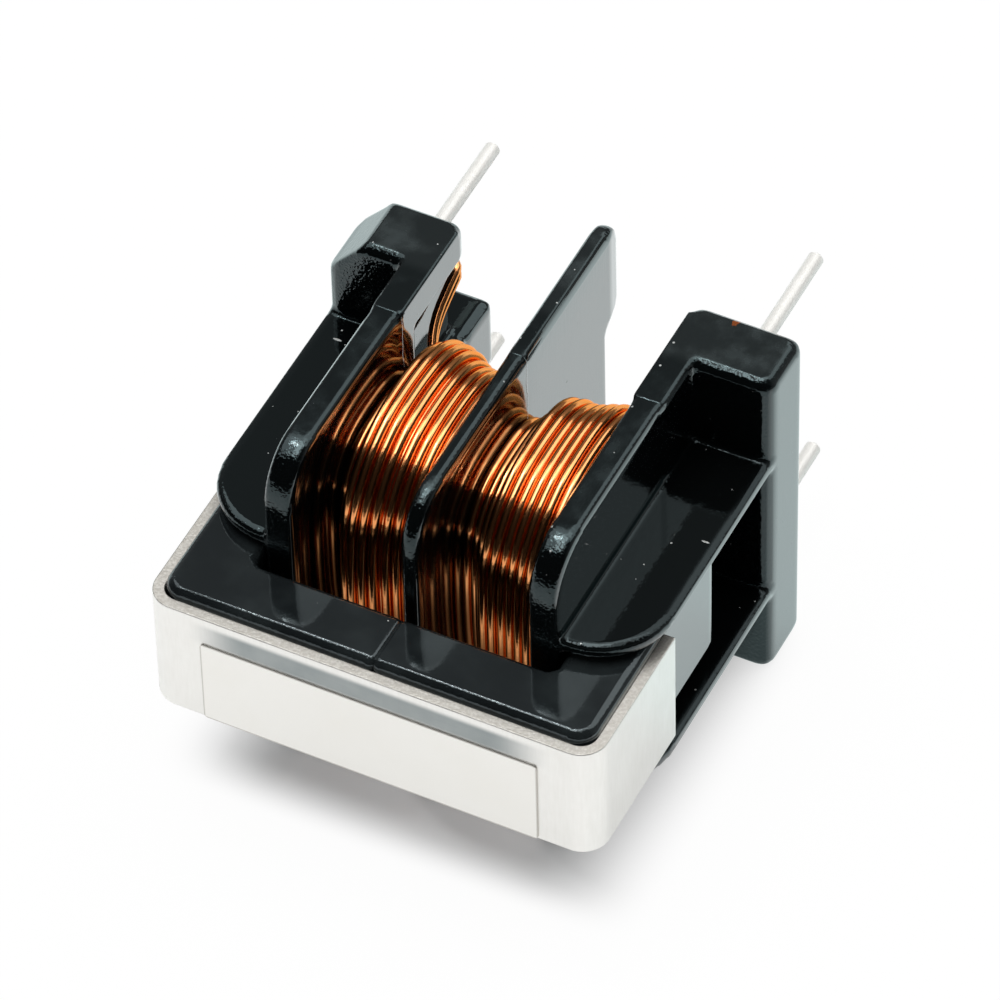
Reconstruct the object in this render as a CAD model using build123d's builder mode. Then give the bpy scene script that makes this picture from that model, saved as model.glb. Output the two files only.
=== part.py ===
# Common mode choke, lying on its side the way it was photographed.
# X runs along the bobbin tube, Y the way the pins point, Z up. Lengths are in millimetres.
# The origin is under the middle of the whole part.
import os

from build123d import *

os.makedirs("parts", exist_ok=True)

# Ferrite pair: two U cores whose legs meet at the middle of the part
core_width = 10.4
core_half = 8.4
core_thick = 5.0
core_leg = 2.4
core_yoke = 2.5
core_bevel = 0.22
core_corner = 0.8
core_lift = 0.35
yoke_clear = 0.2
seam_bevel = 0.06

# Bobbin: tube, three flanges, end shelves and pin bars in one moulding
flange_height = 15.0
mid_flange = 0.7
end_flange = 1.1
flange_corner = 2.1
flange_clear = 0.5
rim_bevel = 0.15
tube_wall = 0.5
tube_corner = 0.4
slip_across = 0.1
slip_upright = 0.45
shelf_thick = 0.55
shelf_step = 0.15
shelf_flat = 0.3
shelf_edge = 0.12
shelf_clear = 0.2
bar_gap = 3.4
bar_depth = 2.75
bar_overhang = 0.4
bar_corner = 0.5
bar_edge = 0.28
lip_height = 1.5
slot_lead = 1.3
slot_web = 0.35
post_reach = 1.95
post_width = 1.9
post_height = 3.2
post_edge = 0.3
key_run = 1.55
key_drop = 1.75
ear_reach = 2.6
ear_height = 3.9
ear_corner = 1.1
ear_point = 0.9
ear_tip = 0.36
recess_depth = 1.25
recess_slope = 1.1
parting_lead = 2.3
parting_step = 0.04

# Pins, moulded into the bars
pin_inset = 2.3
pin_margin = 2.5
pin_dia = 0.6
neck_side = 0.42
pin_out = 6.1
pin_bury = 2.0
pin_tip = 0.15
pin_fit = 0.01

# Spring clip round the front of the core, and its plain label
clip_sheet = 0.45
clip_height = 5.2
clip_drop = 0.49
clip_bend = 1.05
clip_arm = 6.4
clip_fit = 0.01
label_width = 13.2
label_height = 3.85
label_thick = 0.06
label_corner = 0.15
label_margin = 0.04

# Windings of enamelled wire
wire_dia = 0.36
turn_count = 11
winding_build = 2.3
roll_round = 0.9
ridge_sag = 0.12
wind_fit = 0.02
lead_sink = 0.3
lead_inset = 0.5
strand_gap = 0.01
strand_sides = 6
wrap_sides = 12
slot_share = 0.5
rise_share = 0.5
wrap_gap = 0.1
wrap_turns = 2
solder_height = 0.3
solder_lip = 0.05

# Height of each turn over the build, as shares of the wire's diameter, from the left flange on
left_turn_shares = (1.2, 1.6, 1.7, 1.6, 1.6, 1.3, 0.6, 0.3, 0.4, 0.3, 0.1)
right_turn_shares = (-2.6, -2.2, 0.2, 0.5, 0.6, 0.5, 0.7, 1.0, 1.2, 1.1, 0.7)

# Places along X
mid_face = mid_flange / 2
flange_face = core_half - core_yoke - yoke_clear
section_face = flange_face - end_flange
step_face = section_face - parting_step
bar_face = core_half + bar_overhang
shelf_corner = bar_face - flange_face - shelf_flat
pin_pitch_x = 2 * (bar_face - pin_inset)

# Places along Y, counted from the front of the label and then centred on the whole depth
clip_front = label_thick
core_front = clip_front + clip_sheet + clip_fit
core_back = core_front + core_width
flange_front = core_front + core_leg + flange_clear
tube_middle = core_back - core_leg / 2
bar_front = core_back + bar_gap
bar_back = bar_front + bar_depth
slot_front = bar_front - slot_lead
parting_line = bar_front - parting_lead
ear_back = bar_back + ear_reach
recess_back = ear_back - recess_depth
depth = bar_back + pin_out
centre = depth / 2

# Places along Z
middle = flange_height / 2
pin_pitch_z = flange_height - 2 * pin_margin
core_low = middle + core_lift - core_thick / 2
clip_low = middle + core_lift - clip_drop - clip_height / 2

# Tube opening and outside
opening_deep = core_leg + slip_across + slip_across
opening_tall = core_thick + slip_upright + slip_upright
tube_deep = opening_deep + tube_wall + tube_wall
tube_tall = opening_tall + tube_wall + tube_wall
shelf_inside = opening_tall / 2 + shelf_step
pin_radius = pin_dia / 2
neck_reach = neck_side / 2 ** 0.5
wire_radius = wire_dia / 2

# Wire slots, roll of turns and wraps round the pins
slot_wide = flange_face - slot_web - step_face
slot_low = post_height / 2
slot_high = middle - lip_height
corner_y = tube_middle + tube_deep / 2 - tube_corner - roll_round
corner_z = middle + tube_tall / 2 - tube_corner - roll_round
roll_inside = roll_round + tube_corner + wind_fit
turn_pitch = (step_face - mid_face - wind_fit - wind_fit) / turn_count
wrap_start = bar_back + wrap_gap
wrap_end = wrap_start + wrap_turns * wire_dia
wrap_foot = neck_reach + wire_dia - ridge_sag


def y(place):
    return place - centre


def rim_edges(edges, back):
    # Edges that run round a flange's two faces, without those on its joint to the part behind it
    return edges.filter_by(lambda edge: edge.center().Y < y(back) - rim_bevel and abs((edge % 0.5).X) < 0.5)


def corner_level(lean):
    return middle + lean * (corner_z - middle)


def ridged_outline(plane, shares, roll_start):
    # Outline of the roll across its turns: a ridge for each turn, at that turn's own height
    crests = [roll_inside + winding_build + share * wire_dia for share in shares]
    roll_end = roll_start + turn_count * turn_pitch
    points = [(roll_start, roll_inside)]
    for turn, crest in enumerate(crests):
        turn_left = roll_start + turn * turn_pitch
        valley = min(crest, crests[max(turn - 1, 0)]) - ridge_sag
        points.append((turn_left, valley))
        points.append((turn_left + turn_pitch / 2, crest))
    points.append((roll_end, crests[-1] - ridge_sag))
    points.append((roll_end, roll_inside))
    with BuildSketch(plane, mode=Mode.PRIVATE) as ridged:
        with BuildLine():
            Polyline(*points, close=True)
        make_face()
    return ridged.sketch


# Bobbin
with BuildPart() as bobbin:
    # End flanges with big round front corners and bevelled rims
    for side in (-1, 1):
        with BuildSketch(Plane.YZ.offset(section_face if side > 0 else -flange_face)):
            with BuildLine():
                FilletPolyline(
                    (y(bar_front), 0),
                    (y(flange_front), 0),
                    (y(flange_front), flange_height),
                    (y(bar_front), flange_height),
                    radius=flange_corner,
                )
                Line((y(bar_front), flange_height), (y(bar_front), 0))
            make_face()
        extrude(amount=end_flange)
        chamfer(rim_edges(bobbin.edges(Select.LAST), bar_front), rim_bevel)
        # Slightly thicker back part of the flange, behind the mould's parting line
        with BuildSketch(Plane.YZ.offset(step_face if side > 0 else -flange_face - parting_step)):
            with Locations((y((parting_line + bar_back - bar_corner) / 2), middle)):
                Rectangle(bar_back - bar_corner - parting_line, flange_height)
        extrude(amount=end_flange + parting_step + parting_step)
    # Middle flange: round-cornered in front, with an ear at the top and bottom of its back edge
    with BuildSketch(Plane.YZ.offset(-mid_face)):
        with BuildLine():
            FilletPolyline(
                (y(parting_line), 0),
                (y(flange_front), 0),
                (y(flange_front), flange_height),
                (y(parting_line), flange_height),
                radius=flange_corner,
            )
            Line((y(parting_line), flange_height), (y(parting_line), 0))
        make_face()
    extrude(amount=mid_flange)
    chamfer(rim_edges(bobbin.edges(Select.LAST), parting_line), rim_bevel)
    with BuildSketch(Plane.YZ.offset(-mid_face)):
        with BuildLine():
            FilletPolyline(
                (y(ear_back), ear_height),
                (y(ear_back), 0),
                (y(parting_line), 0),
                radius=ear_corner,
            )
            Line((y(parting_line), 0), (y(parting_line), flange_height))
            FilletPolyline(
                (y(parting_line), flange_height),
                (y(ear_back), flange_height),
                (y(ear_back), flange_height - ear_height),
                radius=ear_corner,
            )
            Spline(
                (y(ear_back), flange_height - ear_height),
                (y(recess_back), flange_height - ear_height - recess_slope),
                tangents=((0, -1), (0, -1)),
            )
            Line(
                (y(recess_back), flange_height - ear_height - recess_slope),
                (y(recess_back), ear_height + recess_slope),
            )
            Spline(
                (y(recess_back), ear_height + recess_slope),
                (y(ear_back), ear_height),
                tangents=((0, -1), (0, -1)),
            )
        make_face()
    eared = extrude(amount=mid_flange, mode=Mode.PRIVATE)
    # The ears are drawn out to a thin edge at the back
    with BuildSketch(Plane.XY):
        with BuildLine():
            Polyline(
                (-mid_face, y(parting_line)),
                (-mid_face, y(ear_back - ear_point)),
                (-ear_tip / 2, y(ear_back)),
                (ear_tip / 2, y(ear_back)),
                (mid_face, y(ear_back - ear_point)),
                (mid_face, y(parting_line)),
                close=True,
            )
        make_face()
    drawn_out = extrude(amount=flange_height, mode=Mode.PRIVATE)
    add(eared & drawn_out)
    # Tube the back legs of the core slide into
    with BuildSketch(Plane.YZ.offset(-section_face)):
        with Locations((y(tube_middle), middle)):
            RectangleRounded(tube_deep, tube_tall, tube_corner)
    extrude(amount=section_face + section_face)
    # Pin bars across the back of both ends, with rounded corners
    for side in (-1, 1):
        with BuildSketch(Plane.XY):
            with BuildLine():
                FilletPolyline(
                    (side * step_face, y(bar_front)),
                    (side * bar_face, y(bar_front)),
                    (side * bar_face, y(bar_back)),
                    (side * step_face, y(bar_back)),
                    (side * step_face, y(bar_front)),
                    radius=bar_corner,
                )
            make_face()
        bar = extrude(amount=flange_height, mode=Mode.PRIVATE)
        bar_rims = bar.edges().filter_by(lambda edge: abs(edge.center().Z - middle) > middle - bar_edge)
        add(bar.chamfer(bar_edge, None, bar_rims))
    # Shelves over and under each yoke, rooted in flange and bar, with bevelled rims
    for side in (-1, 1):
        for level in (shelf_inside, -shelf_inside - shelf_thick):
            with BuildSketch(Plane.XY.offset(middle + level)):
                with BuildLine():
                    FilletPolyline(
                        (side * section_face, y(flange_front + shelf_clear)),
                        (side * bar_face, y(flange_front + shelf_clear)),
                        (side * bar_face, y(bar_back - bar_corner)),
                        radius=shelf_corner,
                    )
                    Polyline(
                        (side * bar_face, y(bar_back - bar_corner)),
                        (side * section_face, y(bar_back - bar_corner)),
                        (side * section_face, y(flange_front + shelf_clear)),
                    )
                make_face()
            shelf = extrude(amount=shelf_thick, mode=Mode.PRIVATE)
            shelf_rims = shelf.edges().filter_by(
                lambda edge: abs((edge % 0.5).Z) < 0.5
                and abs(edge.center().X) > section_face + shelf_edge
                and edge.center().Y < y(bar_front)
            )
            add(shelf.chamfer(shelf_edge, None, shelf_rims))
    # Key: one bevelled corner on the left bar's top, over the first pin
    with BuildSketch(Plane.XZ.offset(-y(bar_front))):
        with BuildLine():
            Polyline(
                (-bar_face, flange_height),
                (-bar_face + key_run, flange_height),
                (-bar_face, flange_height - key_drop),
                close=True,
            )
        make_face()
    extrude(amount=-bar_depth, mode=Mode.SUBTRACT)
    # Slots along the inner face of flange and bar that let the wire ends out to the pins
    for side in (-1, 1):
        for lean in (-1, 1):
            with BuildSketch(Plane.XY.offset(middle + (slot_low if lean > 0 else -slot_high))):
                with Locations((side * (step_face + slot_wide / 2), y((slot_front + bar_back) / 2))):
                    Rectangle(slot_wide, bar_back - slot_front)
            extrude(amount=slot_high - slot_low, mode=Mode.SUBTRACT)
    # Posts that keep the bars off a board
    for side in (-1, 1):
        with BuildSketch(Plane.XZ.offset(-y(bar_back))):
            with Locations((side * (section_face + post_width / 2), middle)):
                RectangleRounded(post_width, post_height, post_edge)
        extrude(amount=-post_reach)
    # Opening for the back legs, right through tube and end flanges
    with BuildSketch(Plane.YZ.offset(-flange_face - parting_step)):
        with Locations((y(tube_middle), middle)):
            Rectangle(opening_deep, opening_tall)
    extrude(amount=flange_face + flange_face + parting_step + parting_step, mode=Mode.SUBTRACT)
    # Blind holes for the pins' square necks
    with BuildSketch(Plane.XZ.offset(-y(bar_back))):
        with Locations((0, middle)):
            with GridLocations(pin_pitch_x, pin_pitch_z, 2, 2):
                Rectangle(neck_side + pin_fit + pin_fit, neck_side + pin_fit + pin_fit)
    extrude(amount=pin_bury, mode=Mode.SUBTRACT)
bobbin.part.label = "bobbin"
export_step(bobbin.part, "parts/bobbin.step")


# Ferrite cores, one U to each side of the seam
for name, side in (("core_left", -1), ("core_right", 1)):
    window_end = core_half - core_yoke
    with BuildPart() as core:
        with BuildSketch(Plane.XY.offset(core_low)):
            with BuildLine():
                Polyline(
                    (0, y(core_front)),
                    (side * core_half, y(core_front)),
                    (side * core_half, y(core_back)),
                    (0, y(core_back)),
                    (0, y(core_back - core_leg)),
                    (side * window_end, y(core_back - core_leg)),
                    (side * window_end, y(core_front + core_leg)),
                    (0, y(core_front + core_leg)),
                    close=True,
                )
            make_face()
        extrude(amount=core_thick)
        # Round standing corners where the clip bends round the core, then a bevel on the other edges
        end_edges = core.edges().filter_by(Axis.Z)
        fillet(end_edges.filter_by(lambda edge: abs(edge.center().X) > core_half - core_bevel), core_corner)
        chamfer(core.edges().filter_by(lambda edge: abs(edge.center().X) > core_bevel), core_bevel)
        seam_edges = core.edges().filter_by(lambda edge: abs(edge.center().X) < seam_bevel)
        chamfer(seam_edges, seam_bevel)
    core.part.label = name
    export_step(core.part, "parts/" + name + ".step")


# Spring clip bent round the front leg and both yokes
with BuildPart() as clip:
    clip_face = core_half + clip_fit + clip_sheet
    clip_inside = core_half + clip_fit
    with BuildSketch(Plane.XY.offset(clip_low)):
        with BuildLine():
            FilletPolyline(
                (-clip_face, y(clip_front + clip_arm)),
                (-clip_face, y(clip_front)),
                (clip_face, y(clip_front)),
                (clip_face, y(clip_front + clip_arm)),
                radius=clip_bend,
            )
            Line((clip_face, y(clip_front + clip_arm)), (clip_inside, y(clip_front + clip_arm)))
            FilletPolyline(
                (clip_inside, y(clip_front + clip_arm)),
                (clip_inside, y(clip_front + clip_sheet)),
                (-clip_inside, y(clip_front + clip_sheet)),
                (-clip_inside, y(clip_front + clip_arm)),
                radius=clip_bend - clip_sheet,
            )
            Line((-clip_inside, y(clip_front + clip_arm)), (-clip_face, y(clip_front + clip_arm)))
        make_face()
    extrude(amount=clip_height)
clip.part.label = "clip"
export_step(clip.part, "parts/clip.step")


# Plain label on the clip's front
with BuildPart() as label:
    with BuildSketch(Plane.XZ.offset(-y(0))):
        with Locations((0, clip_low + label_margin + label_height / 2)):
            RectangleRounded(label_width, label_height, label_corner)
    extrude(amount=-label_thick)
label.part.label = "label"
export_step(label.part, "parts/label.step")


# Pins: a square neck, buried in the bar and under the wire's wraps, and a round end for the board
for end_name, side in (("left", -1), ("right", 1)):
    for level_name, lean in (("upper", 1), ("lower", -1)):
        pin_x = side * pin_pitch_x / 2
        pin_z = middle + lean * pin_pitch_z / 2
        with BuildPart() as pin:
            with BuildSketch(Plane.XZ.offset(-y(bar_back - pin_bury))):
                with Locations((pin_x, pin_z)):
                    Rectangle(neck_side, neck_side)
            extrude(amount=-pin_bury - wrap_end + bar_back)
            with BuildSketch(Plane.XZ.offset(-y(wrap_end))):
                with Locations((pin_x, pin_z)):
                    Circle(pin_radius)
            extrude(amount=-pin_out - bar_back + wrap_end)
            chamfer(pin.edges().sort_by(Axis.Y)[-1], pin_tip)
        pin.part.label = "pin_" + end_name + "_" + level_name
        export_step(pin.part, "parts/pin_" + end_name + "_" + level_name + ".step")
        # Solder drawn up the pin over the wrapped wire end
        with BuildPart() as solder:
            for place, size in ((wrap_end, wrap_foot), (wrap_end + solder_height, pin_radius + solder_lip)):
                with BuildSketch(Plane.XZ.offset(-y(place))):
                    with Locations((pin_x, pin_z)):
                        RegularPolygon(size, wrap_sides, major_radius=False)
            loft(ruled=True)
            with BuildSketch(Plane.XZ.offset(-y(wrap_end))):
                with Locations((pin_x, pin_z)):
                    RegularPolygon(pin_radius + pin_fit, wrap_sides, major_radius=False)
            extrude(amount=-solder_height, mode=Mode.SUBTRACT)
        solder.part.label = "solder_" + end_name + "_" + level_name
        export_step(solder.part, "parts/solder_" + end_name + "_" + level_name + ".step")


# Windings: one body each, the roll of turns with its wire ends and their wraps round the pins
for end_name, side, shares in (("left", -1, left_turn_shares), ("right", 1, right_turn_shares)):
    roll_start = wind_fit + (mid_face if side > 0 else -step_face)
    with BuildPart() as winding:
        # A quarter of the roll: half its top, one round corner, half its back; then its mirror images
        top = ridged_outline(Plane((0, y(corner_y), corner_z), (1, 0, 0), (0, -1, 0)), shares, roll_start)
        extrude(to_extrude=top, amount=corner_y - tube_middle)
        revolve(profiles=top, axis=Axis((0, y(corner_y), corner_z), (-1, 0, 0)), revolution_arc=90)
        back = ridged_outline(Plane((0, y(corner_y), corner_z), (1, 0, 0), (0, 0, 1)), shares, roll_start)
        extrude(to_extrude=back, amount=middle - corner_z)
        mirror(about=Plane.XZ.offset(-y(tube_middle)))
        mirror(about=Plane.XY.offset(middle))
        # Room for the tube
        with BuildSketch(Plane.YZ.offset(roll_start)):
            with Locations((y(tube_middle), middle)):
                RectangleRounded(
                    tube_deep + wind_fit + wind_fit, tube_tall + wind_fit + wind_fit, tube_corner + wind_fit
                )
        extrude(amount=turn_count * turn_pitch, mode=Mode.SUBTRACT)
        for lean in (-1, 1):
            pin_x = side * pin_pitch_x / 2
            pin_z = middle + lean * pin_pitch_z / 2
            # Wrap round the pin's neck: a ridge for each turn
            for step in range(2 * wrap_turns + 1):
                with BuildSketch(Plane.XZ.offset(-y(wrap_start + step * wire_radius))):
                    with Locations((pin_x, pin_z)):
                        RegularPolygon(wrap_foot + (step % 2) * ridge_sag, wrap_sides, major_radius=False)
            loft(ruled=True)
            with BuildSketch(Plane.XZ.offset(-y(wrap_start))):
                with Locations((pin_x, pin_z)):
                    Rectangle(neck_side + pin_fit + pin_fit, neck_side + pin_fit + pin_fit)
            extrude(amount=-wrap_turns * wire_dia, mode=Mode.SUBTRACT)
            # The two strands of each wire end, side by side through the slot
            for strand in (-1, 1):
                shift = strand * (wire_radius + strand_gap)
                slot_x = side * (step_face + slot_wide / 2)
                with BuildLine() as lead_line:
                    Polyline(
                        (
                            side * (section_face - lead_inset),
                            y(corner_y + roll_inside + winding_build - lead_sink),
                            corner_level(lean) + shift,
                        ),
                        (
                            slot_x,
                            y(slot_front + slot_share * (bar_back - slot_front)),
                            middle + lean * (slot_low + rise_share * (slot_high - slot_low)) + shift,
                        ),
                        (slot_x, y(bar_back + wire_radius), pin_z - lean * wire_radius + shift),
                        (
                            pin_x - side * (neck_reach + wire_radius),
                            y(wrap_start + wrap_turns * wire_radius),
                            pin_z + shift,
                        ),
                    )
                with BuildSketch(Plane(lead_line.line @ 0, z_dir=lead_line.line % 0)):
                    RegularPolygon(wire_radius, strand_sides)
                sweep(path=lead_line.line, transition=Transition.RIGHT)
    winding.part.label = "winding_" + end_name
    export_step(winding.part, "parts/winding_" + end_name + ".step")
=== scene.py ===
# %% [markdown]
# A common mode choke and its looks
#
# The solids come in as a fixed frame, in metres, and nothing here moves them. The label, the pins and
# the solder keep their solids and get a finish. The black moulding, the ferrite and the clip are shown
# by softened copies of their solids, and the two coils by real round wire, because a wound wire shows
# a bright line on every turn.

# %% Load the fixed frame
import math

import bmesh
import bpy
from mathutils import Matrix, Vector


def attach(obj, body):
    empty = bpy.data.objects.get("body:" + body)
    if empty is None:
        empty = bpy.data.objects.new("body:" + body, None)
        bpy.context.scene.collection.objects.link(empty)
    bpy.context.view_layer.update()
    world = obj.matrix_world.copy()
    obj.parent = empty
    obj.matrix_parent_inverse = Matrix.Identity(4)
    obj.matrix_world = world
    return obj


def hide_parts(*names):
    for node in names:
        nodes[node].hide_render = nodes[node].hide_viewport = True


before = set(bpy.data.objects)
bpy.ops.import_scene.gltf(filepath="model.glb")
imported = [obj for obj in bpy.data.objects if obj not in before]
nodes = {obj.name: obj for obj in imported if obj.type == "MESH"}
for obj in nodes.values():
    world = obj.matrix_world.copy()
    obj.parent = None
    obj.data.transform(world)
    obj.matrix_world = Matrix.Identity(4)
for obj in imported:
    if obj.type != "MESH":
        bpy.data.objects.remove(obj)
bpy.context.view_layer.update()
MM = 0.001
WHITE = (1.0, 1.0, 1.0, 1)


def linked(thing):
    """Puts an object into the scene."""
    bpy.context.scene.collection.objects.link(thing)
    return thing


# %% [markdown]
# The camera
#
# The camera was fitted to corners of the part that can be read off the photograph. It stands well back
# with a long lens, so the lines of the part stay almost parallel. Three directions and a place say all
# there is to say about it, and the third direction follows from the other two.

# %% Camera
camera_place = Vector((0.090105, -0.173352, 0.220764))
camera_right = Vector((0.894936, 0.445821, -0.018226))
camera_up = Vector((-0.317553, 0.665084, 0.675887))
camera_back = camera_right.cross(camera_up)
camera_data = bpy.data.cameras.new("portrait_camera")
camera_data.lens = 290.656
camera_data.sensor_width = 36.0
camera_data.clip_start = 0.01
camera_data.clip_end = 20.0
camera = linked(bpy.data.objects.new("portrait_camera", camera_data))
camera.matrix_world = Matrix.Translation(camera_place) @ Matrix(
    (camera_right, camera_up, camera_back)
).transposed().to_4x4()
bpy.context.scene.camera = camera
print("camera stands", round(camera_place.length, 3), "m from the part")

# %% [markdown]
# A small language for nodes
#
# Finishes and wire are both made by node trees. Writing the sums as Python is easier to read than
# laying nodes out by hand, so a Flow wraps one socket and its operators add Math nodes. Every other
# node comes from the one method Tree.node, which sets the node up first and feeds its sockets next.


# %% Node helpers
class Flow:
    """One output socket, ready to be used in sums."""

    def __init__(self, tree, socket):
        self.tree = tree
        self.socket = socket

    def maths(self, operation, *others):
        values = dict(enumerate((self,) + others))
        return self.tree.node("ShaderNodeMath", {"operation": operation}, values)

    def turned(self, operation, other):
        return self.tree.node("ShaderNodeMath", {"operation": operation}, {0: other, 1: self})

    def __add__(self, other):
        return self.maths("ADD", other)

    def __sub__(self, other):
        return self.maths("SUBTRACT", other)

    def __mul__(self, other):
        return self.maths("MULTIPLY", other)

    def __truediv__(self, other):
        return self.maths("DIVIDE", other)

    def __radd__(self, other):
        return self.turned("ADD", other)

    def __rsub__(self, other):
        return self.turned("SUBTRACT", other)

    def __rmul__(self, other):
        return self.turned("MULTIPLY", other)

    def ramp(self, low, high):
        """0 below low, 1 above high, smooth between."""
        return self.tree.node(
            "ShaderNodeMapRange",
            {"interpolation_type": "SMOOTHSTEP"},
            {"Value": self, "From Min": low, "From Max": high},
        )

    def out(self, name):
        """Another output of the same node."""
        return Flow(self.tree, self.socket.node.outputs[name])


class Tree:
    """A node tree and the one method that adds nodes to it."""

    def __init__(self, node_tree):
        self.node_tree = node_tree

    def node(self, kind, settings=None, inputs=None, output=0):
        made = self.node_tree.nodes.new(kind)
        for name, value in (settings or {}).items():
            if name == "curve":
                self.bend(made, value)
            else:
                setattr(made, name, value)
        for name, value in (inputs or {}).items():
            if isinstance(value, Flow):
                self.node_tree.links.new(value.socket, made.inputs[name])
            else:
                made.inputs[name].default_value = value
        return Flow(self, made.outputs[output]) if made.outputs else made

    def bend(self, made, points):
        """Puts a Float Curve node's points where they are wanted."""
        line = made.mapping.curves[0]
        while len(line.points) < len(points):
            line.points.new(0.5, 0.5)
        for point, (along, height) in zip(line.points, points):
            point.location = (along, height)
            point.handle_type = "AUTO_CLAMPED"
        made.mapping.update()


print("node helpers ready")

# %% [markdown]
# Finishes
#
# Every finish starts from a Principled shader and Object coordinates in metres, so one class sets both
# up. Places, noise and dust are asked for by their real size in millimetres. What varies over the
# surface goes into colour, metal, roughness, coat weight and bump, and what is the same everywhere is
# set on the shader's own sockets.


# %% Finish helpers
class Finish(Tree):
    """A material with a Principled shader, and the few masks and textures that the finishes share."""

    def __init__(self, name, fixed):
        self.material = bpy.data.materials.new(name)
        self.material.use_nodes = True
        super().__init__(self.material.node_tree)
        self.shader = self.node_tree.nodes["Principled BSDF"]
        for socket, value in fixed.items():
            self.shader.inputs[socket].default_value = value
        self.place = self.node("ShaderNodeTexCoord", {}, {}, "Object")
        self.facing = self.node("ShaderNodeNewGeometry", {}, {}, "Normal")

    def axis(self, letter, vector=None):
        return self.node("ShaderNodeSeparateXYZ", {}, {0: vector or self.place}, letter)

    def past(self, letter, low, high):
        """0 up to low on an axis and 1 from high on, both in millimetres."""
        return self.axis(letter).ramp(low * MM, high * MM)

    def outside(self, low, high):
        """The same to the left and right of the part's middle."""
        return self.axis("X").maths("ABSOLUTE").ramp(low * MM, high * MM)

    def looks(self, letter, low, high):
        """1 where the surface faces along an axis, 0 where it faces away."""
        return self.axis(letter, self.facing).ramp(low, high)

    def looks_out(self, low, high):
        """1 where the surface faces left or right."""
        return self.axis("X", self.facing).maths("ABSOLUTE").ramp(low, high)

    def stretched(self, stretch):
        """Object coordinates with each axis squeezed, for grain that runs one way."""
        return self.node(
            "ShaderNodeVectorMath", {"operation": "MULTIPLY"}, {0: self.place, 1: stretch}
        )

    def noise(self, size, detail=2.0, vector=None):
        """Soft noise from 0 to 1 whose lumps are about size millimetres across."""
        return self.node(
            "ShaderNodeTexNoise",
            {},
            {"Vector": vector or self.place, "Scale": 1 / (size * MM), "Detail": detail},
        )

    def flecks(self, spacing, size, share, vector=None):
        """1 on small round specks: a share of the cells, spacing millimetres apart, holds one."""
        cells = self.node(
            "ShaderNodeTexVoronoi",
            {},
            {"Vector": vector or self.place, "Scale": 1 / (spacing * MM), "Randomness": 1.0},
        )
        chance = self.axis("X", cells.out("Color"))
        spread = self.axis("Y", cells.out("Color"))
        reach = (0.3 + spread) * (size / spacing)
        return (reach - cells).ramp(0.0, 0.3 * size / spacing) * (share - chance).ramp(0.0, 0.01)

    def mix(self, share, first, second):
        """A colour between two others."""
        return self.node(
            "ShaderNodeMix",
            {"data_type": "RGBA"},
            {"Factor": share, 6: first, 7: second},
            2,
        )

    def bump(self, height, depth):
        """Turns a height from 0 to 1 into a normal, depth millimetres deep."""
        return self.node(
            "ShaderNodeBump", {}, {"Height": height, "Strength": 1.0, "Distance": depth * MM}
        )

    def feed(self, **sockets):
        for name, flow in sockets.items():
            self.node_tree.links.new(flow.socket, self.shader.inputs[name.replace("_", " ")])
        return self.material


def dress(finish, *names):
    """Gives a finish to the solids of these names."""
    for name in names:
        mesh = nodes[name].data
        mesh.materials.clear()
        mesh.materials.append(finish)
    print(finish.name, "on", ", ".join(names))


SPECK = (0.42, 0.43, 0.42, 1)
print("finish helpers ready")

# %% [markdown]
# Black moulding under varnish
#
# The bobbin is black glass-filled plastic that was dipped in clear varnish with the rest. It is nearly
# black by itself, so what shows is the gloss. One gloss all over would look like new plastic, so masks
# by place and direction share it out: the coat is thick on the broad upright faces of the flanges, thin
# and satin on flat faces that look up, where it also caught dust and lint, and grainy on the rims,
# which sparkle. The right shelf gets a dim slate metal colour, a painted darker reflection. A faint
# raised line runs round the flanges where the halves of the mould met, and a drop of dark flux sits on
# the right bar.

# %% Places on the bobbin, in millimetres
TOPS = (14.0, 14.5)
BAR_START = (2.4, 3.0)
BAR_ENDS = (8.3, 8.6)
SHELF_START = (5.7, 5.9)
SHELF_TOP = (12.0, 13.0)
PARTING_LINE = 0.435
PARTING_REACH = 5.75
PARTING_WIDTH = 0.05
FLUX_DROP = (6.3, 5.15)
FLUX_RADIUS = 0.18
FLUX_EDGE = 0.04
print("flux drop at", FLUX_DROP, "mm")

# %% Bobbin masks
moulding = Finish(
    "varnished_black_moulding",
    {"IOR": 1.52, "Specular Tint": (0.7, 0.96, 1.0, 1), "Coat IOR": 1.68, "Coat Roughness": 0.05},
)
upward = moulding.looks("Z", 0.5, 0.85)
flat = moulding.looks("Z", 0.93, 0.99)
flat_top = flat * moulding.past("Z", *TOPS)
bar_end = moulding.outside(*BAR_ENDS)
bar_top = flat_top * moulding.past("Y", *BAR_START)
# Painted reflection: the right shelf gets a dim slate metal colour, so it mirrors darker than the rest.
shelf_painted_reflection = upward * moulding.past("X", *SHELF_START) * (1 - flat_top)
shelf_painted_reflection = shelf_painted_reflection * (1 - moulding.past("Z", *SHELF_TOP))
broad_side = moulding.looks_out(0.55, 0.95)
rim = (1 - broad_side) * (1 - flat)
print("bobbin masks:", len(moulding.node_tree.nodes), "nodes")

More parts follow.
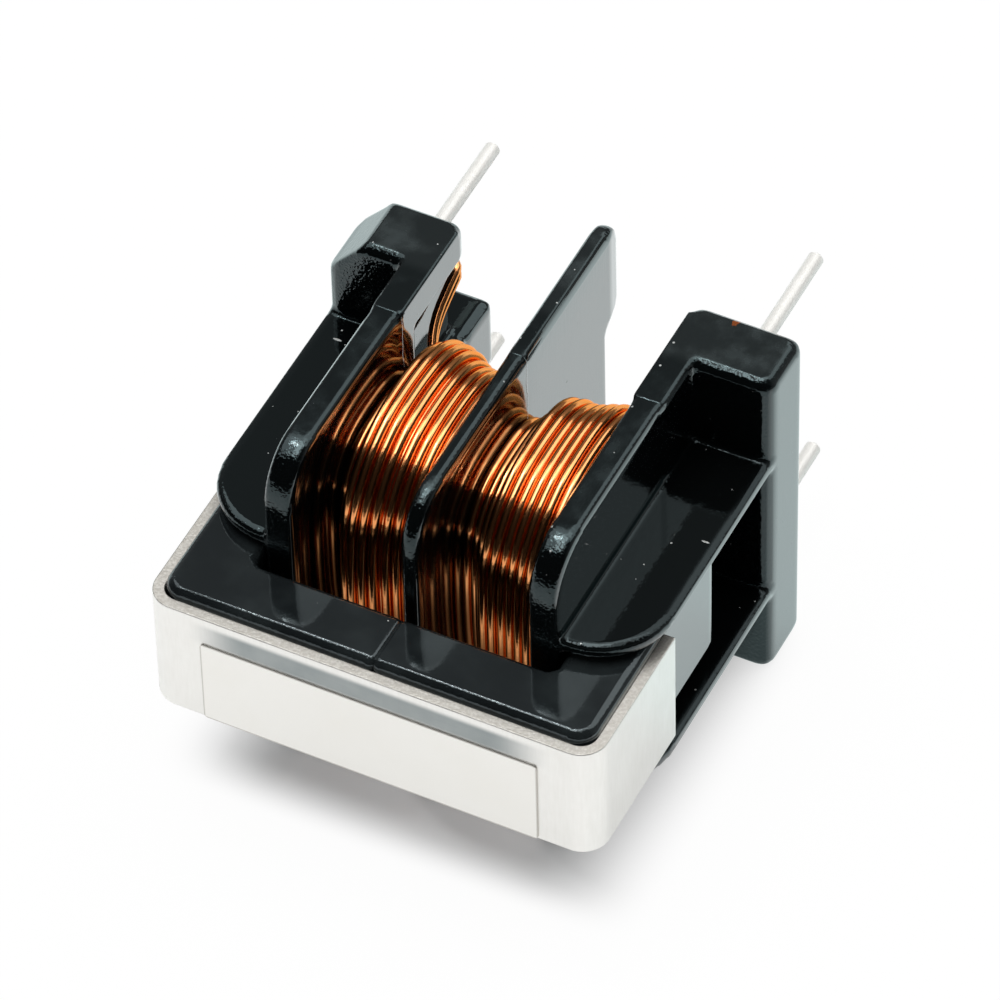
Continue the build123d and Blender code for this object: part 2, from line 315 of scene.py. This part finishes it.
# %% Bobbin colour
haze = moulding.noise(1.4, 4.0).ramp(0.42, 0.75)
lint = moulding.flecks(0.8, 0.05, 0.22, moulding.stretched((0.3, 1.0, 1.0)))
pits = moulding.flecks(0.9, 0.06, 0.4) * broad_side
dust = moulding.flecks(0.42, 0.045, 0.45).maths("MAXIMUM", lint) * (0.15 + 0.85 * upward)
drop_x = moulding.axis("X") - FLUX_DROP[0] * MM
drop_y = moulding.axis("Y") - FLUX_DROP[1] * MM
ragged = (moulding.noise(0.2) - 0.5) * (0.2 * MM)
drop_far = (drop_x * drop_x * 1.6 + drop_y * drop_y * 0.7).maths("SQRT") + ragged
flux = (FLUX_RADIUS * MM - drop_far).ramp(0.0, FLUX_EDGE * MM) * upward
veil = haze * 0.1 * flat_top + (0.35 + 0.55 * haze) * bar_top
shade = moulding.mix(veil, (0.0015, 0.002, 0.0022, 1), (0.024, 0.028, 0.0285, 1))
# The dim slate colour of the painted reflection on the right shelf.
shade = moulding.mix(shelf_painted_reflection, shade, (0.019, 0.024, 0.025, 1))
shade = moulding.mix(dust, shade, SPECK)
shade = moulding.mix(flux, shade, (0.2, 0.045, 0.005, 1))
print("with colour:", len(moulding.node_tree.nodes), "nodes")

# %% Bobbin relief and gloss
waves = moulding.noise(2.2, 1.0)
peel = moulding.noise(0.3, 2.0)
grit = moulding.noise(0.13, 1.0).ramp(0.35, 0.7)
scratch = moulding.noise(0.09, 2.0, moulding.stretched((1.0, 1.0, 0.05))) * broad_side
wander = (moulding.noise(0.8) - 0.5) * (0.25 * MM)
from_line = (moulding.axis("Y") - PARTING_LINE * MM + wander).maths("ABSOLUTE")
on_flange = 1 - moulding.outside(PARTING_REACH - PARTING_WIDTH, PARTING_REACH)
flash = (PARTING_WIDTH * MM - from_line).ramp(0.0, PARTING_WIDTH * MM) * on_flange
relief = waves * 0.2 + peel * (0.04 + 0.1 * upward) + grit * (0.005 + 0.05 * flat_top + 0.2 * rim)
relief = relief + dust * 0.3 + flash * 0.4 + scratch * 0.06 - pits * 0.1
black = moulding.feed(
    Base_Color=shade,
    Metallic=shelf_painted_reflection * 0.9,
    Roughness=0.06 + flat_top * (0.1 + 0.16 * haze) + 0.3 * dust + 0.05 * scratch + 0.15 * bar_end,
    Coat_Weight=(0.06 + 0.94 * broad_side) * (1 - 0.6 * pits) * (1 - 0.15 * bar_end),
    Normal=moulding.bump(relief, 0.03),
)
dress(black, "bobbin")

# %% [markdown]
# Ferrite
#
# Ferrite is a dense dark ceramic. The legs were ground flat and then dipped, so their tops are a calm
# dark mirror with a little dust, and the varnish runs in fine lumps along the edges. Lumps made as mesh
# would need very many faces, so a bump makes them, and it fades out where the surface is flat.

# %% Core finish
ferrite = Finish(
    "dipped_dark_ferrite",
    {"IOR": 1.55, "Specular Tint": (0.8, 0.96, 1.0, 1), "Coat IOR": 1.6, "Coat Roughness": 0.04},
)
lumps = ferrite.noise(0.14, 2.0)
ground_top = ferrite.looks("Z", 0.985, 0.999)
end_face = ferrite.looks_out(0.6, 0.97)
calm = ground_top.maths("MAXIMUM", end_face)
cloud = ferrite.noise(2.2, 3.0).ramp(0.35, 0.8)
specks = ferrite.flecks(0.5, 0.032, 0.35)
shade = ferrite.mix(cloud, (0.008, 0.01, 0.011, 1), (0.02, 0.025, 0.026, 1))
shade = ferrite.mix(specks, shade, SPECK)
ceramic = ferrite.feed(
    Base_Color=shade,
    Roughness=0.06 + 0.06 * cloud + 0.4 * specks,
    Coat_Weight=0.12 + 0.88 * end_face,
    Normal=ferrite.bump(lumps * (0.9 - 0.84 * calm) + specks * 0.5, 0.016),
)
dress(ceramic, "core_left", "core_right")

# %% [markdown]
# Clip, label and pins
#
# The clip is a strip of tinned spring steel, satin from the rollers. Along the top the strip was slit,
# which left a torn edge; below it the front is darker in a band. The label is a bare metallic film with
# a faint painted shade along its edges. Pins and solder are dull tin, drawn along their length. Noise
# that is stretched along the strip or the wire gives each its grain, and the bands follow from places on
# the solids.

# %% Clip finish
# Where the darker band runs on the clip's front, in millimetres.
DARK_BAND_LOW = (8.5, 8.85)
DARK_BAND_HIGH = (9.45, 9.75)
DARK_BAND_ENDS = (4.8, 7.2)

steel = Finish("tinned_clip_steel", {"Metallic": 1.0})
rolled = steel.noise(0.06, 3.0, steel.stretched((0.03, 0.03, 1.0)))
smudge = steel.noise(1.6, 3.0)
torn = steel.noise(0.09, 2.0, steel.stretched((1.0, 1.0, 0.05)))
cut_edge = steel.looks("Z", 0.6, 0.9)
front = (0 - steel.axis("Y", steel.facing)).ramp(0.6, 0.9)
# The front is darker in a band below the top edge, between the ends.
under_edge = steel.past("Z", *DARK_BAND_LOW) * (1 - steel.past("Z", *DARK_BAND_HIGH))
dark_band = front * (1 - steel.outside(*DARK_BAND_ENDS)) * under_edge * (0.75 + 0.25 * smudge)
streak = steel.noise(0.12, 3.0, steel.stretched((1.0, 1.0, 0.12)))
shade = steel.mix(smudge * 0.5 + streak * 0.5, (0.8, 0.79, 0.75, 1), (0.97, 0.965, 0.94, 1))
shade = steel.mix(dark_band, shade, (0.25, 0.285, 0.29, 1))
shade = steel.mix(cut_edge * (0.4 + torn), shade, (0.5, 0.48, 0.44, 1))
sheet = steel.feed(
    Base_Color=shade,
    Roughness=0.26 + 0.12 * smudge + 0.12 * rolled + 0.15 * cut_edge,
    Normal=steel.bump(rolled * (1 - cut_edge) + torn * cut_edge * 2, 0.006),
)
dress(sheet, "clip")

# %% Label finish
LABEL_HALF = 6.6
LABEL_LOW = 4.8
LABEL_HIGH = 8.65
# Painted shade along the label's edges: where it starts and where it is full, in millimetres.
EDGE_SHADE_START = 0.07
EDGE_SHADE_FULL = 0.02

film = Finish("bare_label_film", {"Metallic": 0.8, "IOR": 1.45})
fibre = film.noise(0.15, 3.0)
blotch = film.noise(2.5, 2.0)
from_end = LABEL_HALF * MM - film.axis("X").maths("ABSOLUTE")
from_rim = (film.axis("Z") - LABEL_LOW * MM).maths("MINIMUM", LABEL_HIGH * MM - film.axis("Z"))
# Painted shade, darker towards the label's edges.
label_edge_shade = 1 - from_end.maths("MINIMUM", from_rim).ramp(EDGE_SHADE_FULL * MM, EDGE_SHADE_START * MM)
shade = film.mix(blotch, (0.94, 0.925, 0.875, 1), (0.97, 0.96, 0.925, 1))
shade = film.mix(label_edge_shade, shade, (0.62, 0.6, 0.56, 1))
plain = film.feed(
    Base_Color=shade,
    Roughness=0.34 + 0.14 * fibre,
    Normal=film.bump(fibre * 0.4 + blotch * 0.6, 0.006),
)
dress(plain, "label")

# %% Pin and solder finish
tin = Finish("drawn_tin", {"Metallic": 0.25})
drawn = tin.noise(0.08, 3.0, tin.stretched((1.0, 0.04, 1.0)))
dull = tin.noise(0.7, 2.0)
silver = tin.feed(
    Base_Color=tin.mix(dull, (0.8, 0.79, 0.75, 1), (0.9, 0.89, 0.86, 1)),
    Roughness=0.34 + 0.16 * dull + 0.1 * drawn,
    Normal=tin.bump(drawn, 0.006),
)
dress(silver, *(name for name in nodes if name.startswith(("pin_", "solder_"))))

# %% [markdown]
# Enamelled copper
#
# The wire is bright copper under clear amber enamel. The copper gives the orange, the enamel a thin
# second shine on top, so a metal with a faint coat does for both. Past the bars the ends are tinned, and
# the colour changes to silver there.

# %% Wire finish
BAR_BACK = 5.485
TINNED = (BAR_BACK + 0.05, BAR_BACK + 0.4)

copper = Finish(
    "enamelled_copper",
    {
        "Metallic": 1.0,
        "Specular Tint": (1.0, 0.62, 0.36, 1),
        "Coat IOR": 1.5,
        "Coat Roughness": 0.05,
        "Coat Tint": (1.0, 0.9, 0.75, 1),
    },
)
tinned = copper.past("Y", *TINNED)
tone = copper.noise(0.9, 2.0)
scuff = copper.noise(0.12, 3.0)
shade = copper.mix(tone, (0.92, 0.35, 0.12, 1), (0.97, 0.42, 0.17, 1))
shade = copper.mix(tinned, shade, (0.76, 0.74, 0.7, 1))
enamel = copper.feed(
    Base_Color=shade,
    Roughness=0.12 + 0.06 * tone + 0.2 * tinned,
    Coat_Weight=0.03 * (1 - tinned),
    Normal=copper.bump(scuff, 0.003),
)
dress(enamel, "winding_left", "winding_right")

# %% [markdown]
# Softened copies
#
# Dipped parts have no sharp edges: varnish rounds the rims and fills the inner corners. A bevel would
# only round the rims, so a copy of the solid is merged, cut anew into a fine even grid and smoothed a
# few times, which does both. The skin then moves out by the thickness of the varnish. Flat faces stay
# flat, so they can be put back together afterwards to keep the copy light, and normals weighted by area
# keep them calm. The clip is bare sheet, so its copy only gets a small bevel. The work is done in
# millimetres, because the grid would be too fine in metres.


# %% Dip and bevel
def merged_copy(name):
    """A carrier object in millimetres with a merged copy of a solid."""
    whole = bmesh.new()
    whole.from_mesh(nodes[name].data)
    bmesh.ops.remove_doubles(whole, verts=whole.verts, dist=0.0001 * MM)
    bmesh.ops.scale(whole, vec=(1 / MM, 1 / MM, 1 / MM), verts=whole.verts)
    carrier = linked(bpy.data.objects.new(name + "_copy", bpy.data.meshes.new(name + "_copy")))
    whole.to_mesh(carrier.data)
    whole.free()
    return carrier


def changed(carrier, kind, **settings):
    """Adds a modifier."""
    modifier = carrier.modifiers.new(kind, kind)
    for name, value in settings.items():
        setattr(modifier, name, value)


def baked(carrier):
    """The plain mesh that a carrier's modifiers make. The carrier goes."""
    bpy.context.view_layer.update()
    depsgraph = bpy.context.evaluated_depsgraph_get()
    mesh = bpy.data.meshes.new_from_object(carrier.evaluated_get(depsgraph))
    carrier.modifiers.clear()
    bpy.data.objects.remove(carrier)
    return mesh


def shown(name, mesh, finish, solid):
    """A piece that is seen in place of a solid."""
    mesh.materials.clear()
    mesh.materials.append(finish)
    piece = linked(bpy.data.objects.new(name, mesh))
    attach(piece, "root")
    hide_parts(solid)
    print(name, len(mesh.polygons), "faces")


def softened(name, solid, finish, slot, *changes):
    """Shows a solid by a copy with some modifiers applied."""
    carrier = merged_copy(solid)
    for kind, settings in changes:
        changed(carrier, kind, **settings)
    changed(carrier, "WEIGHTED_NORMAL", weight=100)
    mesh = baked(carrier)
    mesh.transform(Matrix.Scale(MM, 4))
    shown(name, mesh, finish, solid)


print("dip and bevel ready")

# %% The dipped pieces and the clip, sizes in millimetres
VARNISH = 0.03
MERGE_FLAT = ("DECIMATE", {"decimate_type": "DISSOLVE", "angle_limit": 0.01})
SMALL_BEVEL = ("BEVEL", {"width": 0.05, "segments": 2, "limit_method": "ANGLE", "angle_limit": 0.6})


def dip(grid, rounds):
    """What the varnish does to a copy. A finer grid keeps more of an edge, more rounds keep less."""
    return (
        ("REMESH", {"mode": "VOXEL", "voxel_size": grid, "use_smooth_shade": True}),
        ("SMOOTH", {"factor": 0.5, "iterations": rounds}),
        ("DISPLACE", {"strength": VARNISH, "mid_level": 0.0}),
        MERGE_FLAT,
    )


softened("dipped_bobbin", "bobbin", black, "bobbin_plastic", *dip(0.12, 7))
softened("dipped_core_left", "core_left", ceramic, "ferrite", *dip(0.09, 6))
softened("dipped_core_right", "core_right", ceramic, "ferrite", *dip(0.09, 6))
softened("bent_clip", "clip", sheet, "clip_steel", MERGE_FLAT, SMALL_BEVEL)

# %% [markdown]
# Winding the coils
#
# A coil is one wire laid turn by turn round the tube. Each turn lies square to the tube and steps over
# to its neighbour underneath, where it can't be seen. A Geometry Nodes tree lays it: every point of a
# long mesh line knows its index, the index says how many turns have gone by, and from that follow the
# angle, the place along the tube and how high the turn rides. The height comes from a curve drawn for
# each coil, because both start low beside a flange and ride up in a hump after that. The runs between
# the corners bulge, as they do on any thick coil, and the coil is a little fuller at the back and top.

# %% Sizes of the coils, in millimetres
wire = 0.36
turn_count = 11
half_run_back = 0.5
half_run_up = 2.15
tube_middle = -1.865
middle = 7.5
bare_corner = 1.32
build = 2.3
bay_near = 0.35
bay_far = 4.56
bay_gap = 0.02
pitch = (bay_far - bay_near - 2 * bay_gap) / turn_count
roll_starts = {"left": bay_gap - bay_far, "right": bay_near + bay_gap}
full_back = 0.35
full_up = 0.2
loose = 0.06
print("pitch of the turns", round(pitch, 3), "mm")

# %% How high each turn rides, in wire widths, and how the runs bulge
heights = {
    "left": (-2.7, -1.6, 1.3, 1.9, 1.8, 1.5, 0.8, 0.4, 0.4, 0.3, 0.1),
    "right": (-2.7, -2.3, -1.2, 0.4, 0.6, 0.5, 0.7, 1.1, 1.4, 1.2, 0.8),
}
LOWEST = -3.0
SPAN = 6.0
BULGE = 4.0
STEP_OVER = 0.86
HEIGHT_POINT = 0.02
SLACK_RATE = 2.3
DRIFT_RATE = 1.7
DRIFT_SEED = 40.0
WINDING_INPUTS = {
    "Turns": "Int",
    "Samples": "Int",
    "Sides": "Int",
    "Wire": "Float",
    "Pitch": "Float",
    "Start": "Float",
    "Corner": "Float",
    "Loose": "Float",
    "Seed": "Float",
    "Material": "Material",
}
print("highest turns:", {end: max(turns) for end, turns in heights.items()}, "wire widths")


# %% The winding tree
def started(name, kinds):
    """A new tree with named inputs: the group, the Tree and a Flow for each input."""
    group = bpy.data.node_groups.new(name, "GeometryNodeTree")
    group.interface.new_socket("Geometry", in_out="OUTPUT", socket_type="NodeSocketGeometry")
    for label, kind in kinds.items():
        group.interface.new_socket(label, in_out="INPUT", socket_type="NodeSocket" + kind)
    tree = Tree(group)
    given = tree.node("NodeGroupInput")
    return group, tree, {label: given.out(label) for label in kinds}


def round_wire(tree, path, sizes):
    """Ends a tree: round wire along a path, as plain mesh with a material."""
    section = tree.node(
        "GeometryNodeCurvePrimitiveCircle",
        {},
        {"Resolution": sizes["Sides"], "Radius": sizes["Wire"] / 2},
    )
    tube = tree.node(
        "GeometryNodeCurveToMesh", {}, {"Curve": path, "Profile Curve": section, "Fill Caps": True}
    )
    smooth = tree.node("GeometryNodeSetShadeSmooth", {}, {"Geometry": tube, "Shade Smooth": True})
    whole = tree.node("GeometryNodeRealizeInstances", {}, {"Geometry": smooth})
    finished = tree.node(
        "GeometryNodeSetMaterial", {}, {"Geometry": whole, "Material": sizes["Material"]}
    )
    tree.node("NodeGroupOutput", {}, {"Geometry": finished})


def wobble(tree, gone, rate, seed):
    """A smooth wander from about -0.5 to 0.5 along the wire."""
    wander_along = tree.node(
        "ShaderNodeTexNoise",
        {"noise_dimensions": "1D"},
        {"W": gone * rate + seed, "Scale": 1.0, "Detail": 1.0},
    )
    return wander_along - 0.5


def bulged(swing, half_run, fuller):
    """Half a run of the coil, from the cosine or sine of the angle, with a little more on one side."""
    return (swing * BULGE).maths("TANH") * (half_run * MM) + (swing + 1) * (fuller * MM / 2)


def winding_tree(name, turn_heights):
    group, tree, sizes = started(name, WINDING_INPUTS)
    index = tree.node("GeometryNodeInputIndex")
    gone = (index + 0.5) / sizes["Samples"]
    whole = gone.maths("FLOOR")
    step = whole + (gone - whole).ramp(STEP_OVER, 1.0)
    angle = gone * math.tau - math.pi / 2
    across = angle.maths("COSINE")
    upright = angle.maths("SINE")
    drawn_heights = [
        ((turn + HEIGHT_POINT) / turn_count, (height - LOWEST) / SPAN)
        for turn, height in enumerate(turn_heights)
    ]
    rise = tree.node("ShaderNodeFloatCurve", {"curve": drawn_heights}, {"Value": step / turn_count})
    slack = wobble(tree, gone, SLACK_RATE, sizes["Seed"])
    drift = wobble(tree, gone, DRIFT_RATE, sizes["Seed"] + DRIFT_SEED)
    radius = sizes["Corner"] + (rise * SPAN + LOWEST) * sizes["Wire"] + slack * sizes["Loose"]
    point = tree.node(
        "ShaderNodeCombineXYZ",
        {},
        {
            "X": sizes["Start"] + (step + 0.5) * sizes["Pitch"] + drift * sizes["Loose"],
            "Y": tube_middle * MM + bulged(across, half_run_back, full_back) + across * radius,
            "Z": middle * MM + bulged(upright, half_run_up, full_up) + upright * radius,
        },
    )
    line = tree.node(
        "GeometryNodeMeshLine",
        {},
        {"Count": sizes["Turns"] * sizes["Samples"], "Offset": (0.0, 0.0, 0.0)},
    )
    laid = tree.node("GeometryNodeSetPosition", {}, {"Geometry": line, "Position": point})
    round_wire(tree, tree.node("GeometryNodeMeshToCurve", {}, {"Mesh": laid}), sizes)
    return group


# %% Growing a mesh from a tree
def grown(group, carrier, **sizes):
    """Runs a tree on a carrier object, and gives back the plain mesh that it made."""
    modifier = linked(carrier).modifiers.new(group.name, "NODES")
    modifier.node_group = group
    for item in group.interface.items_tree:
        if item.in_out == "INPUT" and item.name in sizes:
            modifier[item.identifier] = sizes[item.name]
    return baked(carrier)


print("winding tree ready")

# %% [markdown]
# Wire ends
#
# Both strands of each wire end leave the coil at the back, pass the slot beside the bar and are wrapped
# round the neck of a pin. Their routes are a few points each, and the wraps are worked out by a loop. A
# second small tree turns any curve into round wire.

# %% Sizes of the wire ends, in millimetres
pin_x = 6.5
pin_rise = 5.0
pin_radius = 0.297
slot_x = 4.955
slot_middle = 3.46
slot_rise = 3.8
wrap_start = 5.585
wrap_radius = pin_radius + wire / 2
strand_gap = 0.01
leave_x = 4.1
leave_y = 1.6
turn_x = 4.35
turn_y = 2.2
turn_rise = 3.0
WRAP_TURNS = 0.92
WRAP_STEPS = 12
WIRE_INPUTS = {"Geometry": "Geometry", "Wire": "Float", "Sides": "Int", "Material": "Material"}
print("wraps of", round(2 * wrap_radius, 3), "mm round pins", 2 * pin_x, "mm apart")


# %% Wire ends
def wire_tree():
    group, tree, sizes = started("wire_along_curve", WIRE_INPUTS)
    round_wire(tree, sizes["Geometry"], sizes)
    return group


def lead_route(side, lean, strand):
    """Points of one strand in metres: out of the coil, through the slot and round the pin."""
    shift = strand * (wire / 2 + strand_gap)
    points = [
        (side * leave_x, leave_y, middle + lean * half_run_up + shift),
        (side * turn_x, turn_y, middle + lean * turn_rise + shift),
        (side * slot_x, slot_middle, middle + lean * slot_rise + shift),
        (side * slot_x, BAR_BACK - wire, middle + lean * (pin_rise - wire) + shift),
        (side * slot_x, BAR_BACK + wire / 2, middle + lean * (pin_rise - wire / 2) + shift),
    ]
    level = wrap_start + (wire if strand > 0 else 0) + wire / 2
    for step in range(int(WRAP_TURNS * WRAP_STEPS) + 1):
        angle = math.tau * step / WRAP_STEPS
        points.append((
            side * (pin_x - wrap_radius * math.cos(angle)),
            level,
            middle + lean * (pin_rise + wrap_radius * math.sin(angle)),
        ))
    return [Vector(point) * MM for point in points]


def route_carrier(name, points):
    """A smooth curve whose control points are a route's points."""
    curve = bpy.data.curves.new(name, "CURVE")
    curve.dimensions = "3D"
    curve.resolution_u = 4
    spline = curve.splines.new("NURBS")
    spline.points.add(len(points) - 1)
    for knot, point in zip(spline.points, points):
        knot.co = (*point, 1.0)
    spline.order_u = 3
    spline.use_endpoint_u = True
    return bpy.data.objects.new(name, curve)


def joined(name, meshes):
    """One mesh out of several."""
    whole = bmesh.new()
    for mesh in meshes:
        whole.from_mesh(mesh)
        bpy.data.meshes.remove(mesh)
    data = bpy.data.meshes.new(name)
    whole.to_mesh(data)
    whole.free()
    return data


print("routes ready")

# %% The two coils
LAYERS = 4
TOP_SAMPLES = 96
TOP_SIDES = 16
HIDDEN_SAMPLES = 48
HIDDEN_SIDES = 8
LEAD_SIDES = 12
FIRST_SEED = 3.0
LAYER_SEED = 10.0

wire_along = wire_tree()
for end, side in (("left", -1), ("right", 1)):
    laid = winding_tree("winding_" + end, heights[end])
    meshes = []
    for layer in range(LAYERS):
        name = "turns_" + end + str(layer)
        top = layer == 0
        odd = layer % 2
        nest = layer * wire * math.sin(math.pi / 3)
        meshes.append(grown(
            laid,
            bpy.data.objects.new(name, bpy.data.meshes.new(name)),
            Turns=turn_count - odd,
            Samples=TOP_SAMPLES if top else HIDDEN_SAMPLES,
            Sides=TOP_SIDES if top else HIDDEN_SIDES,
            Wire=wire * MM,
            Pitch=pitch * MM,
            Start=(roll_starts[end] + odd * pitch / 2) * MM,
            Corner=(bare_corner + build - wire / 2 - nest) * MM,
            Loose=loose * MM,
            Seed=FIRST_SEED + side + LAYER_SEED * layer,
            Material=enamel,
        ))
    for lean in (-1, 1):
        for strand in (-1, 1):
            carrier = route_carrier("route", lead_route(side, lean, strand))
            meshes.append(grown(wire_along, carrier, Wire=wire * MM, Sides=LEAD_SIDES, Material=enamel))
    shown("coil_" + end, joined("coil_" + end, meshes), enamel, "winding_" + end)

# %% [markdown]
# Table, lamps and world
#
# The part lies on a white table under one broad lamp, with a second one behind it. A bright strip puts
# the pale core into the shine of the wires, and a small lamp the glints on the varnish. The table is
# white to the camera, and less so under the part, where it keeps the shadow. In reflections it is bright
# in front of the part, a cool white to the right and behind, and dark under the part. The room is dim
# in reflections, and dimmer in front than behind. That gives the metal and the varnish their dark bands.

# %% Places on the table, in millimetres
FRONT = (-13.8, -12.0)
SIDES = (6.0, 8.0)
BACK = (3.0, 6.0)
RIGHT_START = (-2.5, 0.5)
SHADOW_FRONT = (-11.2, -8.6)
SHADOW_SIDES = (5.0, 10.0)
TABLE_RADIUS = 1.5
print("shadow kept from", SHADOW_FRONT[0], "to", BACK[1], "mm")

# %% Table
floor_data = bpy.data.meshes.new("table")
floor_mesh = bmesh.new()
bmesh.ops.create_circle(floor_mesh, cap_ends=True, segments=96, radius=TABLE_RADIUS)
floor_mesh.to_mesh(floor_data)
floor_mesh.free()
floor = linked(bpy.data.objects.new("table", floor_data))

table = Finish(
    "white_table",
    {"Base Color": (0.98, 0.98, 0.98, 1), "Roughness": 0.6, "Specular IOR Level": 0.0},
)
to_camera = table.node("ShaderNodeLightPath", {}, {}, "Is Camera Ray")
mirrored = to_camera.out("Is Glossy Ray").maths("MAXIMUM", to_camera.out("Is Transmission Ray"))
ahead = 1 - table.past("Y", *FRONT)
aside = table.outside(*SIDES)
beyond = table.past("Y", *BACK)
right_of = aside * table.past("Y", *RIGHT_START)
under = (1 - ahead) * (1 - aside) * (1 - beyond) * mirrored
shaded = table.past("Y", *SHADOW_FRONT) * (1 - table.outside(*SHADOW_SIDES)) * (1 - beyond)
shine = table.mix(to_camera + ahead, (0.85, 1.0, 1.0, 1), WHITE)
shine = table.mix(under, shine, (0.1, 0.1, 0.1, 1))
glow = table.node("ShaderNodeEmission", {}, {"Color": shine, "Strength": 1.0})
lit = Flow(table, table.shader.outputs[0])
bright = mirrored * (0.03 + 0.6 * ahead + 0.3 * beyond + 0.55 * right_of) + under * 0.8
share = to_camera * (0.97 - 0.82 * shaded) + bright
blend = table.node("ShaderNodeMixShader", {}, {0: share, 1: lit, 2: glow})
table.node_tree.links.new(blend.socket, table.node_tree.nodes["Material Output"].inputs["Surface"])
floor_data.materials.append(table.material)
print("table", 2 * TABLE_RADIUS, "m across")

# %% Room
ROOM_LIGHT = 0.25
ROOM_FRONT = 0.012
ROOM_BACK = 0.19

world = bpy.data.worlds.new("dim_room")
bpy.context.scene.world = world
world.use_nodes = True
room = Tree(world.node_tree)
to_camera = room.node("ShaderNodeLightPath", {}, {}, "Is Camera Ray")
sky = room.node("ShaderNodeTexCoord", {}, {}, "Generated")
depth = room.node("ShaderNodeSeparateXYZ", {}, {0: sky}, "Y")
dim = depth.ramp(-0.3, 0.45) * ROOM_BACK + ROOM_FRONT
glossy = to_camera.out("Is Glossy Ray")
level = to_camera.maths("MAXIMUM", glossy * dim + (1 - glossy) * ROOM_LIGHT)
background = world.node_tree.nodes["Background"]
background.inputs["Color"].default_value = WHITE
world.node_tree.links.new(level.socket, background.inputs["Strength"])
print("room light", ROOM_LIGHT)


# %% Lamps
def softbox(name, toward, distance, width, length, power):
    """A lamp that looks at the part from a direction, its width along X as far as that goes."""
    lamp = bpy.data.lights.new(name, "AREA")
    lamp.shape = "RECTANGLE"
    lamp.size = width
    lamp.size_y = length
    lamp.energy = power
    direction = Vector(toward).normalized()
    sideways = (Vector((1, 0, 0)) - direction * direction.x).normalized()
    turn = Matrix((sideways, direction.cross(sideways), direction)).transposed()
    holder = linked(bpy.data.objects.new(name, lamp))
    holder.matrix_world = Matrix.Translation(direction * distance) @ turn.to_4x4()
    print(name, power, "W")


softbox("broad_lamp", (-0.25, 0.025, 0.968), distance=0.35, width=0.44, length=0.276, power=0.6)
softbox("back_lamp", (0.27, 0.56, 0.78), distance=0.35, width=0.3, length=0.28, power=0.42)
softbox("strip_lamp", (-0.12, -0.06, 0.98), distance=0.36, width=0.12, length=0.2, power=0.3)
softbox("glint_lamp", (-0.313, 0.1, 0.95), distance=0.35, width=0.025, length=0.025, power=0.08)
bpy.context.scene.view_settings.view_transform = "Standard"
